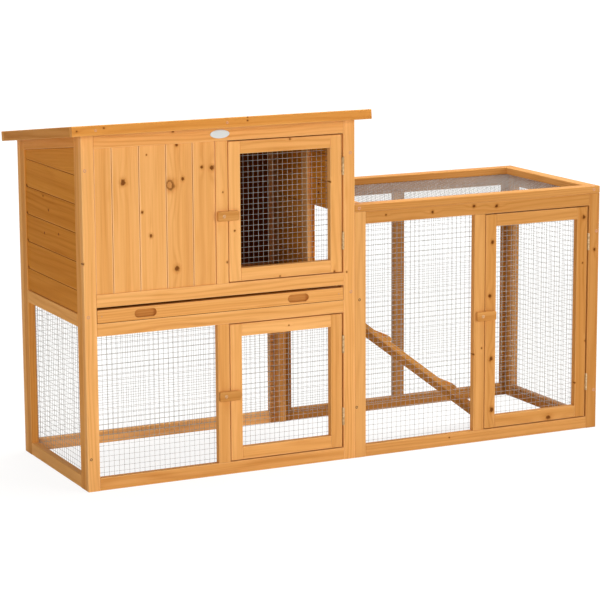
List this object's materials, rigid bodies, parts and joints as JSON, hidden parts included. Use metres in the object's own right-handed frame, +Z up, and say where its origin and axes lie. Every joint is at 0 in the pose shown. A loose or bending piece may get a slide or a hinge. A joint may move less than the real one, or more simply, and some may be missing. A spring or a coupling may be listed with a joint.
{
  "type": "small animal hutch with run",
  "caption": "Two-storey timber small-animal hutch with a lifting sloped roof, slide-out tray and wire doors, joined to a low wire run with a ramp to the upper storey.",
  "frame": {"origin": "centre of the base of the whole object's bounding box, on the ground", "axes": "+X along the object's length from the hutch to the run, +Y from the front with the doors to the back, +Z up"},
  "size_m": [1.411, 0.4866, 0.8509],
  "materials": {
    "frame_timber": "varnished pine",
    "wall_board": "varnished pine boards",
    "welded_wire": "galvanised wire",
    "hinge_steel": "zinc plated",
    "roof_felt": "mineral surface",
    "screw_steel": "zinc plated"
  },
  "bodies": {
    "frame": {"front_posts": "frame_timber", "front_top_rail": "frame_timber", "front_floor_rail": "frame_timber", "front_tray_rail": "frame_timber", "front_bottom_rail": "frame_timber", "front_stiles": "frame_timber", "front_boards": "wall_board", "front_net": "welded_wire", "left_side_stiles": "frame_timber", "left_side_rails": "frame_timber", "left_side_boards": "wall_board", "left_side_net": "welded_wire", "divider_stiles": "frame_timber", "divider_rails": "frame_timber", "divider_boards": "wall_board", "divider_battens": "frame_timber", "back_posts": "frame_timber", "back_rails": "frame_timber", "back_boards": "wall_board", "back_net": "welded_wire", "tray_runners": "frame_timber", "button_screws": "screw_steel", "fixed_hinge_leaves": "hinge_steel", "hinge_pins": "hinge_steel", "run_front_uprights": "frame_timber", "run_front_rails": "frame_timber", "run_front_net": "welded_wire", "run_side_stiles": "frame_timber", "run_side_rails": "frame_timber", "run_side_net": "welded_wire", "run_back_posts": "frame_timber", "run_back_rails": "frame_timber", "run_back_net": "welded_wire", "run_lid_frame": "frame_timber", "run_lid_net": "welded_wire", "ramp_board": "wall_board", "ramp_cleats": "frame_timber"},
    "roof": {"roof_trim": "frame_timber", "roof_boards": "wall_board", "roof_felt": "roof_felt", "roof_hinge_leaves": "hinge_steel"},
    "tray": {"tray_front": "frame_timber", "tray_walls": "frame_timber", "tray_bottom": "wall_board"},
    "upper_door": {"upper_door_stiles": "frame_timber", "upper_door_rails": "frame_timber", "upper_door_net": "welded_wire", "upper_door_hinge_leaves": "hinge_steel"},
    "lower_door": {"lower_door_stiles": "frame_timber", "lower_door_rails": "frame_timber", "lower_door_net": "welded_wire", "lower_door_hinge_leaves": "hinge_steel"},
    "run_door": {"run_door_stiles": "frame_timber", "run_door_rails": "frame_timber", "run_door_net": "welded_wire", "run_door_hinge_leaves": "hinge_steel"},
    "upper_button": {"upper_turn_button": "frame_timber"},
    "lower_button": {"lower_turn_button": "frame_timber"},
    "run_button": {"run_turn_button": "frame_timber"}
  },
  "joints": [
    {"name": "roof_lift", "type": "hinge", "parent": "frame", "child": "roof", "pos_m": [-0.3295, 0.22287, 0.76644], "axis": [-1, 0, 0], "range_deg": [0, 85]},
    {"name": "tray_slide", "type": "slide", "parent": "frame", "child": "tray", "axis": [0, -1, 0], "range_m": [0, 0.36]},
    {"name": "upper_door_swing", "type": "hinge", "parent": "frame", "child": "upper_door", "pos_m": [-0.01675, -0.21663, 0.627], "axis": [0, 0, 1], "range_deg": [0, 170]},
    {"name": "lower_door_swing", "type": "hinge", "parent": "frame", "child": "lower_door", "pos_m": [-0.01675, -0.21663, 0.1965], "axis": [0, 0, 1], "range_deg": [0, 170]},
    {"name": "run_door_swing", "type": "hinge", "parent": "frame", "child": "run_door", "pos_m": [0.67325, -0.21663, 0.3015], "axis": [0, 0, 1], "range_deg": [0, 170]},
    {"name": "upper_button_turn", "type": "hinge", "parent": "frame", "child": "upper_button", "pos_m": [-0.328, -0.21868, 0.619], "axis": [0, 1, 0], "continuous": true},
    {"name": "lower_button_turn", "type": "hinge", "parent": "frame", "child": "lower_button", "pos_m": [-0.328, -0.21868, 0.191], "axis": [0, 1, 0], "continuous": true},
    {"name": "run_button_turn", "type": "hinge", "parent": "frame", "child": "run_button", "pos_m": [0.3665, -0.21868, 0.319], "axis": [0, 1, 0], "continuous": true}
  ]
}
